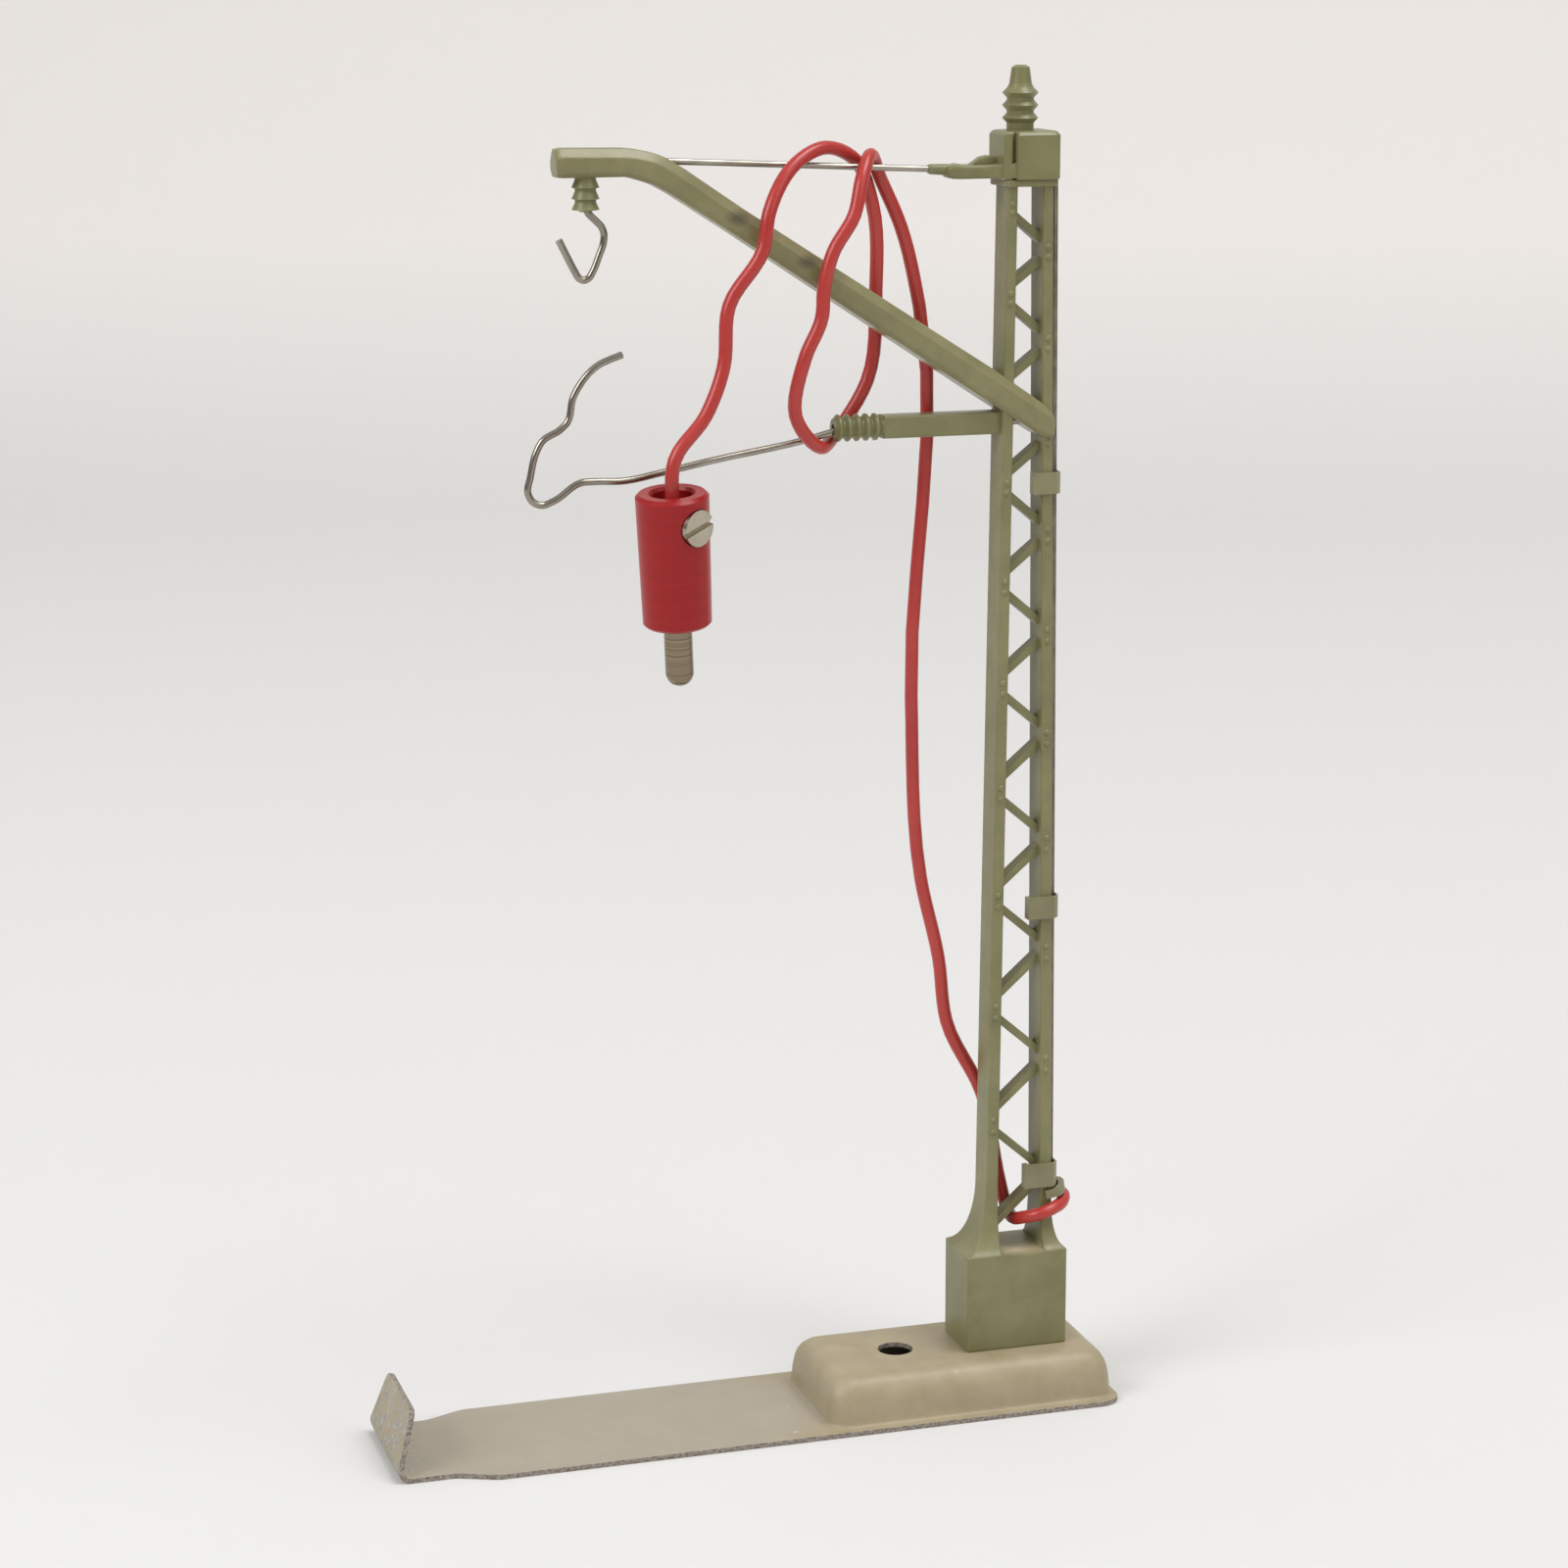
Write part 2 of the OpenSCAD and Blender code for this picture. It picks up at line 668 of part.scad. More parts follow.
module at_plug() {
    translate([mast_x, 0, 0] + plug_pos) rotate(plug_tilt) children();
}

module cord_core_plug() {
    color(brass_col) at_plug() translate([0, 0, 7.3]) cylinder(h = core_top - 7.3, r = core_r);
}

// Plug: sleeve, pin and clamp screw

module plug_sleeve() {
    color(red_sleeve) at_plug() difference() {
        rotate_extrude()
            polygon([[sleeve_bore_r, 0], [sleeve_end_r - 0.25, 0], [sleeve_end_r, 0.25],
                     [sleeve_top_r, sleeve_l - 0.3], [sleeve_top_r - 0.3, sleeve_l],
                     [sleeve_bore_r + 0.2, sleeve_l], [sleeve_bore_r, sleeve_l - 0.3]]);
        rotate([0, 0, clamp_turn]) translate([0, 0, clamp_z]) rotate([90, 0, 0])
            cylinder(h = 6, r = clamp_head_r + 0.06);
    }
}

module plug_pin() {
    color(nickel) at_plug() difference() {
        rotate_extrude()
            polygon([[0, -pin_l], [0.6, -pin_l], [1.0, -pin_l + 0.25], [pin_r, -pin_l + 0.8],
                     [pin_r, 0], [sleeve_bore_r - 0.01, 0], [sleeve_bore_r - 0.01, core_top],
                     [0, core_top]]);
        translate([0, 0, 7.2]) cylinder(h = 5, r = core_r + 0.01);
        rotate([0, 0, clamp_turn]) translate([0, 0, clamp_z]) rotate([90, 0, 0])
            cylinder(h = 3, r = clamp_shank_r + 0.05);
    }
}

module plug_clamp_screw() {
    color(nickel) at_plug() rotate([0, 0, clamp_turn]) translate([0, 0, clamp_z]) rotate([90, 0, 0])
        difference() {
            union() {
                translate([0, 0, 0.45]) cylinder(h = clamp_in, r = clamp_shank_r);
                translate([0, 0, clamp_in]) cylinder(h = clamp_out - clamp_in, r = clamp_head_r);
            }
            rotate([0, 0, 12]) translate([-2, -0.25, clamp_out - 0.45]) cube([4, 0.5, 1]);
        }
}

base_plate();
mast();
mast_screw();
screw_washer();
head_cap();
top_insulator();
stay_rod();
bracket_arm();
upper_insulator();
catenary_hook();
lower_arm();
lower_insulator();
steady_wire();
conductor_strip();
strip_clip_1();
strip_clip_2();
strip_clip_3();
cord_lug();
solder_joint();
cord();
cord_core_mast();
cord_core_plug();
plug_sleeve();
plug_pin();
plug_clamp_screw();
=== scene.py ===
"""Overhead-line mast of a model railway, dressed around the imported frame.

Everything is in metres in the frame of the CAD model; millimetre values below
are turned into metres by MM.
"""
import math

import bmesh
import bpy
from mathutils import Matrix, Vector


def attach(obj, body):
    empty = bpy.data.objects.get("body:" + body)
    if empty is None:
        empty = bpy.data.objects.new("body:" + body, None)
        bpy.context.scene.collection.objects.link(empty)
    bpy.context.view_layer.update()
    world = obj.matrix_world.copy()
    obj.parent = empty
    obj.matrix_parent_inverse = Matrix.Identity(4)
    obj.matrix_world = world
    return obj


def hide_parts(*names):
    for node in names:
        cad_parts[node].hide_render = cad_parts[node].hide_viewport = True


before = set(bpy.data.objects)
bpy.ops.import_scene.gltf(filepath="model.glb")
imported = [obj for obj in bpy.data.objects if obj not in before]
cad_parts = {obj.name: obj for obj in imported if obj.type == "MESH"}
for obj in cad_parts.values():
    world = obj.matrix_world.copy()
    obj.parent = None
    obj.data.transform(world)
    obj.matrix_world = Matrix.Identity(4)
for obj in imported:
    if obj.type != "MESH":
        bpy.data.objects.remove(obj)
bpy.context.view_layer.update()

MM = 0.001
BODY = "frame_body"
MAST_X = 25.8


# ---------------------------------------------------------------- helpers

def link(obj):
    """Put a new object into the scene."""
    bpy.context.scene.collection.objects.link(obj)
    return obj


def finish_piece(obj, material, node):
    """Give a piece its material and its body, and hide the CAD node it stands for."""
    obj.data.materials.append(material)
    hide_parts(node)
    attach(obj, BODY)
    return obj


def smooth_faces(mesh):
    """Shade every face smooth."""
    mesh.polygons.foreach_set("use_smooth", [True] * len(mesh.polygons))


def at_mast(x, y, z):
    """A point given from the mast axis in millimetres, as a frame point."""
    return Vector(((x + MAST_X) * MM, y * MM, z * MM))


# ----------------------------------------------------------------- camera

CAMERA_PLACE = at_mast(-119.82, -316.07, 133.41)
CAMERA_PITCH = math.radians(12.626)
CAMERA_YAW = math.radians(17.163)
CAMERA_ROLL = math.radians(-0.116)
CAMERA_LENS = 87.44
SENSOR = 36.0


def make_camera():
    """The camera of the reference view."""
    data = bpy.data.cameras.new("camera")
    data.lens = CAMERA_LENS
    data.sensor_width = SENSOR
    data.clip_start = 0.01
    data.clip_end = 20.0
    camera = link(bpy.data.objects.new("camera", data))
    turn = (
        Matrix.Rotation(-CAMERA_YAW, 4, "Z")
        @ Matrix.Rotation(math.pi / 2 - CAMERA_PITCH, 4, "X")
        @ Matrix.Rotation(CAMERA_ROLL, 4, "Z")
    )
    camera.matrix_world = Matrix.Translation(CAMERA_PLACE) @ turn
    bpy.context.scene.camera = camera


make_camera()


# -------------------------------------------------------------- materials

def new_material(name):
    """An empty node material, its nodes, its links and its shader."""
    material = bpy.data.materials.new(name)
    material.use_nodes = True
    nodes = material.node_tree.nodes
    links = material.node_tree.links
    return material, nodes, links, nodes["Principled BSDF"]


def noise(nodes, links, scale, detail=4.0, rough=0.6):
    """A noise texture in object coordinates, scale in cells per metre."""
    place = nodes.new("ShaderNodeTexCoord")
    texture = nodes.new("ShaderNodeTexNoise")
    texture.inputs["Scale"].default_value = scale
    texture.inputs["Detail"].default_value = detail
    texture.inputs["Roughness"].default_value = rough
    links.new(place.outputs["Object"], texture.inputs["Vector"])
    return texture.outputs["Fac"]


def ramp(nodes, links, value, stops):
    """A colour ramp over a value; stops are (position, colour)."""
    node = nodes.new("ShaderNodeValToRGB")
    elements = node.color_ramp.elements
    elements[0].position, elements[0].color = stops[0][0], (*stops[0][1], 1.0)
    elements[1].position, elements[1].color = stops[1][0], (*stops[1][1], 1.0)
    for position, colour in stops[2:]:
        element = elements.new(position)
        element.color = (*colour, 1.0)
    links.new(value, node.inputs["Fac"])
    return node.outputs["Color"]


def mix(nodes, links, factor, first, second):
    """Mix two colours by a factor socket."""
    node = nodes.new("ShaderNodeMix")
    node.data_type = "RGBA"
    links.new(factor, node.inputs["Factor"])
    for socket, value in ((node.inputs["A"], first), (node.inputs["B"], second)):
        if isinstance(value, tuple):
            socket.default_value = (*value, 1.0)
        else:
            links.new(value, socket)
    return node.outputs["Result"]


def grain(nodes, links, shader, height, strength, distance):
    """A fine bump from a height socket."""
    bump = nodes.new("ShaderNodeBump")
    bump.inputs["Strength"].default_value = strength
    bump.inputs["Distance"].default_value = distance
    links.new(height, bump.inputs["Height"])
    links.new(bump.outputs["Normal"], shader.inputs["Normal"])


def spot(nodes, links, centre, reach, soft=0.3):
    """A soft mask, one inside an ellipsoid about a place; reach is in millimetres."""
    place = nodes.new("ShaderNodeTexCoord")
    shift = nodes.new("ShaderNodeVectorMath")
    shift.operation = "SUBTRACT"
    shift.inputs[1].default_value = centre
    links.new(place.outputs["Object"], shift.inputs[0])
    squeeze = nodes.new("ShaderNodeVectorMath")
    squeeze.operation = "DIVIDE"
    squeeze.inputs[1].default_value = Vector(reach) * MM
    links.new(shift.outputs["Vector"], squeeze.inputs[0])
    length = nodes.new("ShaderNodeVectorMath")
    length.operation = "LENGTH"
    links.new(squeeze.outputs["Vector"], length.inputs[0])
    fade = nodes.new("ShaderNodeMapRange")
    fade.inputs["From Min"].default_value = 1.0 - soft
    fade.inputs["From Max"].default_value = 1.0 + soft
    fade.inputs["To Min"].default_value = 1.0
    fade.inputs["To Max"].default_value = 0.0
    links.new(length.outputs["Value"], fade.inputs["Value"])
    return fade.outputs["Result"]


def times(nodes, links, first, second):
    """Product of two values; each is a socket or a number."""
    node = nodes.new("ShaderNodeMath")
    node.operation = "MULTIPLY"
    for socket, value in zip(node.inputs, (first, second)):
        if isinstance(value, float):
            socket.default_value = value
        else:
            links.new(value, socket)
    return node.outputs["Value"]


def mottled(name, dark, light, roughness, scale=260.0, metallic=0.0, bump=0.15, marks=()):
    """A moulded or painted surface with soft patches and a fine grain.

    Marks are (centre, reach, colour, strength) stains laid over the patches.
    """
    material, nodes, links, shader = new_material(name)
    patches = noise(nodes, links, scale)
    colour = ramp(nodes, links, patches, [(0.35, dark), (0.65, light)])
    for centre, reach, stain, strength in marks:
        mask = times(nodes, links, spot(nodes, links, centre, reach, 0.6), strength)
        colour = mix(nodes, links, mask, colour, stain)
    links.new(colour, shader.inputs["Base Color"])
    shader.inputs["Roughness"].default_value = roughness
    shader.inputs["Metallic"].default_value = metallic
    grain(nodes, links, shader, noise(nodes, links, 5000.0), bump, 0.00005)
    return material


def base_paint():
    """Thin beige paint, chipped to bare speckled metal on the upturned end, with painted sheen and
    dust greying the flat strip.
    """
    material, nodes, links, shader = new_material("base_paint")
    paint = ramp(nodes, links, noise(nodes, links, 240.0), [
        (0.35, (0.325, 0.268, 0.165)), (0.65, (0.385, 0.322, 0.208)),
    ])
    metal = ramp(nodes, links, noise(nodes, links, 1800.0), [
        (0.35, (0.15, 0.14, 0.12)), (0.65, (0.42, 0.41, 0.38)),
    ])
    specks = ramp(nodes, links, noise(nodes, links, 900.0, 6.0), [
        (0.50, (0.0, 0.0, 0.0)), (0.56, (1.0, 1.0, 1.0)),
    ])
    rare = ramp(nodes, links, noise(nodes, links, 420.0, 8.0, 0.7), [
        (0.68, (0.0, 0.0, 0.0)), (0.71, (1.0, 1.0, 1.0)),
    ])
    # Painted sheen with dust: the flat strip's top is mixed towards a greyer colour that stands in
    # for the light's sheen on it, and for dust.
    strip = spot(nodes, links, (-0.015, 0.0, 0.0005), (22.0, 12.0, 0.9), 0.15)
    paint = mix(nodes, links, times(nodes, links, strip, 0.7), paint, (0.36, 0.325, 0.27))
    flap_end = spot(nodes, links, (-0.0345, 0.0, 0.003), (3.4, 12.0, 9.0))
    worn_end = times(nodes, links, flap_end, specks)
    colour = mix(nodes, links, worn_end, paint, metal)
    colour = mix(nodes, links, rare, colour, (0.55, 0.54, 0.50))
    links.new(colour, shader.inputs["Base Color"])
    shader.inputs["Roughness"].default_value = 0.45
    grain(nodes, links, shader, noise(nodes, links, 3500.0), 0.2, 0.00006)
    return material


def turned(name, dark, light, roughness, axis, pitch, metallic=0.0):
    """A turned surface: fine rings square to an axis."""
    material, nodes, links, shader = new_material(name)
    place = nodes.new("ShaderNodeTexCoord")
    along = nodes.new("ShaderNodeVectorMath")
    along.operation = "DOT_PRODUCT"
    along.inputs[1].default_value = axis
    links.new(place.outputs["Object"], along.inputs[0])
    rings = nodes.new("ShaderNodeTexNoise")
    rings.noise_dimensions = "1D"
    rings.inputs["Scale"].default_value = pitch
    rings.inputs["Detail"].default_value = 3.0
    links.new(along.outputs["Value"], rings.inputs["W"])
    colour = ramp(nodes, links, rings.outputs["Fac"], [(0.30, dark), (0.75, light)])
    links.new(colour, shader.inputs["Base Color"])
    shader.inputs["Roughness"].default_value = roughness
    shader.inputs["Specular IOR Level"].default_value = 0.3
    shader.inputs["Metallic"].default_value = metallic
    grain(nodes, links, shader, rings.outputs["Fac"], 0.15, 0.00006)
    return material


PLUG_AXIS = (-0.068, -0.119, 0.990)
DARK_MARK = (0.075, 0.068, 0.045)
TAN_WEAR = (0.50, 0.42, 0.26)
OLIVE = mottled("olive_plastic", (0.168, 0.160, 0.066), (0.214, 0.203, 0.090), 0.33)
OLIVE_ARM = mottled(
    "olive_arm", (0.200, 0.183, 0.082), (0.262, 0.240, 0.115), 0.30,
    marks=[
        (at_mast(-26.6, -1.6, 109.5), (0.9, 0.9, 0.55), DARK_MARK, 0.8),
        (at_mast(-20.5, -1.7, 105.6), (0.8, 0.9, 0.5), DARK_MARK, 0.75),
    ],
)
OLIVE_MAST = mottled(
    "olive_mast", (0.186, 0.176, 0.076), (0.236, 0.222, 0.103), 0.42,
    marks=[(at_mast(0.5, -1.9, 14.03), (2.2, 1.0, 0.35), TAN_WEAR, 0.9)],
)
OLIVE_METAL = mottled("olive_metal", (0.190, 0.175, 0.088), (0.240, 0.222, 0.120), 0.38)
WIRE = mottled("wire_steel", (0.27, 0.24, 0.195), (0.37, 0.34, 0.29), 0.22, 250.0, 1.0, 0.03)
STRIP = mottled("strip_metal", (0.16, 0.13, 0.095), (0.26, 0.215, 0.16), 0.40, 700.0, 0.3)
NICKEL = mottled("nickel", (0.40, 0.35, 0.27), (0.50, 0.45, 0.36), 0.24, 400.0, 1.0, 0.05)
COPPER = mottled("copper_core", (0.45, 0.24, 0.12), (0.60, 0.34, 0.20), 0.35, 800.0, 0.9)
SOLDER = mottled("solder", (0.40, 0.40, 0.38), (0.60, 0.60, 0.58), 0.35, 800.0, 0.9)
RED_CORD = mottled("red_insulation", (0.42, 0.030, 0.026), (0.48, 0.044, 0.036), 0.27, 120.0)
RED_SLEEVE = turned(
    "red_sleeve", (0.30, 0.007, 0.008), (0.35, 0.010, 0.011), 0.30, PLUG_AXIS, 2600.0,
)
PIN_BRASS = turned(
    "pin_metal", (0.17, 0.135, 0.09), (0.33, 0.265, 0.185), 0.22, PLUG_AXIS, 5200.0, 1.0,
)
CUT_EDGE = mottled("cut_edge", (0.13, 0.105, 0.085), (0.38, 0.33, 0.28), 0.60, 3500.0)
BASE = base_paint()


# ------------------------------------------------------------------- cord

CORD_DIAMETER = 1.22 * MM
CORD_ROUTE = [
    (4.8, 0.9, 18.42), (4.9, -0.3, 18.27), (4.2, -1.6, 18.0), (3.0, -2.45, 17.8),
    (1.7, -2.6, 17.45), (0.6, -1.6, 16.95), (0.05, 0.2, 16.4), (0.0, 1.8, 17.0),
    (-0.2, 2.6, 18.6), (-2.2, 2.8, 28.0), (-5.7, 2.8, 35.2), (-6.5, 2.8, 41.2),
    (-8.3, 2.8, 49.0), (-9.3, 2.8, 66.0), (-8.7, 2.9, 101.0), (-10.5, 2.7, 108.0),
    (-12.7, 2.0, 112.4), (-14.2, 0.1, 114.5), (-15.7, -2.0, 112.6), (-16.6, -2.7, 109.6),
    (-18.6, -2.9, 106.4), (-19.4, -2.9, 103.4), (-19.6, -2.9, 100.9), (-21.1, -2.9, 97.5),
    (-21.75, -2.15, 92.4), (-18.9, -0.4, 89.3), (-16.7, 2.25, 90.15), (-13.6, 2.8, 94.6),
    (-12.8, 2.8, 102.5), (-13.4, 2.1, 110.2), (-15.2, 1.3, 114.0), (-18.2, 0.1, 115.2),
    (-21.4, -1.3, 114.0), (-24.3, -2.9, 110.0), (-24.9, -3.1, 106.9), (-28.0, -3.2, 102.2),
    (-28.6, -3.4, 96.9), (-30.3, -3.9, 93.0), (-33.3, -4.5, 89.3), (-33.6, -4.5, 85.3),
]
ROUTE_STEPS = 6


def slope(points, i):
    """Direction of a smooth path through its point i."""
    if i == 0:
        return (points[1] - points[0]).normalized()
    if i == len(points) - 1:
        return (points[i] - points[i - 1]).normalized()
    before = points[i] - points[i - 1]
    after = points[i + 1] - points[i]
    total = before.length + after.length
    return (after.normalized() * before.length + before.normalized() * after.length) / total


def smooth_path(points, steps):
    """Points of a smooth path through the given points."""
    made = []
    for i in range(len(points) - 1):
        run = (points[i + 1] - points[i]).length
        start, end = slope(points, i) * run, slope(points, i + 1) * run
        for k in range(steps):
            t = k / steps
            made.append(
                points[i] * (2 * t**3 - 3 * t**2 + 1)
                + start * (t**3 - 2 * t**2 + t)
                + points[i + 1] * (3 * t**2 - 2 * t**3)
                + end * (t**3 - t**2)
            )
    made.append(points[-1].copy())
    return made


def wire_curve(name, path, radius, sides=4):
    """A round wire along a path, with closed ends."""
    data = bpy.data.curves.new(name, "CURVE")
    data.dimensions = "3D"
    data.bevel_depth = radius
    data.bevel_resolution = sides
    data.use_fill_caps = True
    spline = data.splines.new("POLY")
    spline.points.add(len(path) - 1)
    for point, place in zip(spline.points, path):
        point.co = (*place, 1.0)
    spline.use_smooth = True
    return link(bpy.data.objects.new(name, data))


cord_path = smooth_path([at_mast(*p) for p in CORD_ROUTE], ROUTE_STEPS)
cord = wire_curve("red_cord", cord_path, CORD_DIAMETER / 2)
finish_piece(cord, RED_CORD, "cord")


# ------------------------------------------------------------- stage, light

def stage_paper_painted_light():
    """Pale paper whose colour is darker on the floor and lighter and warmer where it turns up into
    the wall: painted shade and painted light on one paper.
    """
    material, nodes, links, shader = new_material("pale_floor_painted_light")
    place = nodes.new("ShaderNodeTexCoord")
    parts = nodes.new("ShaderNodeSeparateXYZ")
    links.new(place.outputs["Object"], parts.inputs["Vector"])
    # Painted shade and light: the paper's colour rises with height from the floor into the wall.
    colour = ramp(nodes, links, parts.outputs["Z"], [
        (0.0, (0.70, 0.698, 0.690)), (0.05, (0.825, 0.795, 0.775)),
    ])
    links.new(colour, shader.inputs["Base Color"])
    shader.inputs["Roughness"].default_value = 0.9
    return material


def make_stage():
    """A pale floor that turns up into a wall behind the object."""
    depth, back, rise, bend = 3.0, 0.55, 1.6, 0.35
    profile = [(-depth, 0.0), (back, 0.0)]
    for k in range(1, 17):
        angle = math.radians(90) * k / 16
        profile.append((back + bend * math.sin(angle), bend * (1 - math.cos(angle))))
    profile.append((back + bend, rise))
    half = 3.0
    turn = Matrix.Rotation(-CAMERA_YAW, 4, "Z")
    verts = []
    for along, up in profile:
        for side in (-half, half):
            verts.append(turn @ Vector((side, along, up)))
    faces = [(2 * i, 2 * i + 1, 2 * i + 3, 2 * i + 2) for i in range(len(profile) - 1)]
    mesh = bpy.data.meshes.new("floor")
    mesh.from_pydata([tuple(v) for v in verts], [], faces)
    smooth_faces(mesh)
    mesh.materials.append(stage_paper_painted_light())
    link(bpy.data.objects.new("floor", mesh))


def area_light(name, place, target, size, power, colour):
    """A soft square light that looks at a target."""
    data = bpy.data.lights.new(name, "AREA")
    data.size = size
    data.energy = power
    data.color = colour
    lamp = link(bpy.data.objects.new(name, data))
    aim = (Vector(target) - Vector(place)).to_track_quat("-Z", "Y")
    lamp.matrix_world = Matrix.Translation(place) @ aim.to_matrix().to_4x4()


def make_light():
    """A surround that is darker low down, a key from the left, a fill and a top light."""
    world = bpy.data.worlds.new("surround")
    world.use_nodes = True
    background = world.node_tree.nodes["Background"]
    background.inputs["Strength"].default_value = 0.64
    place = world.node_tree.nodes.new("ShaderNodeTexCoord")
    parts = world.node_tree.nodes.new("ShaderNodeSeparateXYZ")
    shade = world.node_tree.nodes.new("ShaderNodeValToRGB")
    shade.color_ramp.elements[0].position = 0.05
    shade.color_ramp.elements[0].color = (0.30, 0.29, 0.28, 1.0)
    shade.color_ramp.elements[1].position = 0.75
    shade.color_ramp.elements[1].color = (1.0, 0.995, 0.985, 1.0)
    links = world.node_tree.links
    links.new(place.outputs["Generated"], parts.inputs["Vector"])
    links.new(parts.outputs["Z"], shade.inputs["Fac"])
    links.new(shade.outputs["Color"], background.inputs["Color"])
    bpy.context.scene.world = world
    area_light("key", (-0.75, -0.25, 0.6), (0.0, 0.0, 0.06), 0.5, 4.0, (0.97, 0.985, 1.0))
    area_light("fill", (0.45, -0.65, 0.5), (0.0, 0.0, 0.06), 0.6, 1.2, (1.0, 0.985, 0.96))
    area_light("top", (0.47, -0.34, 1.5), (0.0, 0.0, 0.05), 0.7, 11.0, (1.0, 0.995, 0.99))


make_stage()
make_light()

bpy.context.scene.view_settings.view_transform = "Standard"


# ----------------------------------------------------- mesh making helpers

def mesh_piece(name, bm):
    """Turn a bmesh into a smooth shaded object."""
    bmesh.ops.recalc_face_normals(bm, faces=bm.faces)
    mesh = bpy.data.meshes.new(name)
    bm.to_mesh(mesh)
    bm.free()
    smooth_faces(mesh)
    mesh.set_sharp_from_angle(angle=math.radians(35))
    piece = link(bpy.data.objects.new(name, mesh))
    weighted = piece.modifiers.new("flat_faces", "WEIGHTED_NORMAL")
    weighted.keep_sharp = True
    return piece


def skin_rings(bm, rings):
    """Join rings of points into a tube with closed ends."""
    loops = [[bm.verts.new(p) for p in ring] for ring in rings]
    for first, second in zip(loops, loops[1:]):
        count = len(first)
        for k in range(count):
            bm.faces.new((first[k], first[(k + 1) % count], second[(k + 1) % count], second[k]))
    bm.faces.new(loops[0])
    bm.faces.new(loops[-1])


def round_corner(before, corner, after, radius, steps=3):
    """Points of a small curve in place of one corner of an outline."""
    back = before - corner
    ahead = after - corner
    reach = min(radius, back.length * 0.45, ahead.length * 0.45)
    start = corner + back.normalized() * reach
    end = corner + ahead.normalized() * reach
    points = []
    for k in range(steps + 1):
        t = k / steps
        points.append(start * (1 - t) ** 2 + corner * 2 * t * (1 - t) + end * t**2)
    return points


def rounded_corners(corners, radius):
    """Round the corners of a flat outline; radius is one number or a list, one for each."""
    radii = [radius] * len(corners) if isinstance(radius, float) else radius
    made = []
    for i, corner in enumerate(corners):
        after = corners[(i + 1) % len(corners)]
        made += round_corner(corners[i - 1], corner, after, radii[i])
    return made


def square_ring(x, hd, low, high, radius):
    """A soft rectangle square to the X axis, as frame points; sizes in millimetres."""
    corners = [Vector((x, y, z)) for y, z in ((-hd, low), (-hd, high), (hd, high), (hd, low))]
    return [at_mast(*p) for p in rounded_corners(corners, radius)]


def soft_box(bm, low, high, radius):
    """A box with rounded upright corners and rounded top and bottom rims."""
    rings = []
    rim = radius * 0.6
    levels = [(low[2], rim), (low[2] + rim * 0.3, rim * 0.3), (low[2] + rim, 0.0),
              (high[2] - rim, 0.0), (high[2] - rim * 0.3, rim * 0.3), (high[2], rim)]
    for z, inset in levels:
        x0, x1 = low[0] + inset, high[0] - inset
        y0, y1 = low[1] + inset, high[1] - inset
        corners = [Vector((x, y, z)) for x, y in ((x0, y0), (x1, y0), (x1, y1), (x0, y1))]
        rings.append([at_mast(*p) for p in rounded_corners(corners, radius)])
    skin_rings(bm, rings)


def circle(radius, sides):
    """Pairs of coordinates round a circle about nought."""
    turns = [2 * math.pi * k / sides for k in range(sides)]
    return [(radius * math.cos(turn), radius * math.sin(turn)) for turn in turns]


def lathe(bm, profile, place, sides=48):
    """Turn a profile of (radius, height) about an upright axis; place maps its points."""
    rings = []
    for radius, height in profile:
        rings.append([place(Vector((x, y, height))) for x, y in circle(radius, sides)])
    skin_rings(bm, rings)


def dome(bm, centre, radius, height, way):
    """A shallow rivet head that stands out towards -Y or +Y; way is -1 or 1."""
    rings = []
    for level in (0.0, 0.55, 0.85):
        y = centre[1] + way * height * level
        edge = circle(radius * math.sqrt(1 - level**2), 12)
        rings.append([at_mast(centre[0] + x, y, centre[2] + z) for x, z in edge])
    skin_rings(bm, rings)


# -------------------------------------------------------------------- mast

CHORD_TOP_Z, CHORD_FOOT_Z = 111.0, 20.0
CHORD_TOP_HW, CHORD_FOOT_HW = 2.13, 3.20
CHORD_TOP_W, CHORD_FOOT_W = 0.95, 1.15
CHORD_HD = 1.58
LEDGE_Z, CAP_Z, CAP_TOP_Z = 111.6, 112.2, 116.4
LEDGE_LOW, LEDGE_HIGH = (-2.45, -2.2, LEDGE_Z), (2.35, 2.2, CAP_Z)
BLOCK_X0, BLOCK_X1, BLOCK_HD, BLOCK_TOP = -5.52, 4.24, 3.18, 14.03
LEFT_FLARE_Z, RIGHT_FLARE_Z = 20.3, 17.3
PAN_TOP = 4.82
NODE_Z, PANEL_FIRST, PANEL_GROWTH, PANEL_COUNT = 109.4, 7.9, 1.041, 10
BRACE_HD, BRACE_H, BRACE_OVERLAP = 0.7, 0.95, 0.5
# Chord (-1 left, 1 right) and place in the panel of each rivet
RIVETS = ((-1, 0.10), (-1, 0.0), (1, -0.39), (1, -0.50))
RIVET_RADIUS, RIVET_HEIGHT = 0.31, 0.20


def between_chord_ends(z, top, foot):
    """Value at a height of something that changes evenly down the mast."""
    return top + (CHORD_TOP_Z - z) * (foot - top) / (CHORD_TOP_Z - CHORD_FOOT_Z)


def chord_hw(z):
    """Half width over the chords."""
    return between_chord_ends(z, CHORD_TOP_HW, CHORD_FOOT_HW)


def chord_w(z):
    """Width of one chord."""
    return between_chord_ends(z, CHORD_TOP_W, CHORD_FOOT_W)


def flare(z, start_z, edge, block_edge):
    """Outer edge of a chord where it spreads on to the foot block."""
    if z >= start_z:
        return edge
    drop = (start_z - z) / (start_z - BLOCK_TOP)
    return block_edge - (block_edge - edge) * math.sqrt(max(0.0, 1 - min(1.0, drop) ** 2))


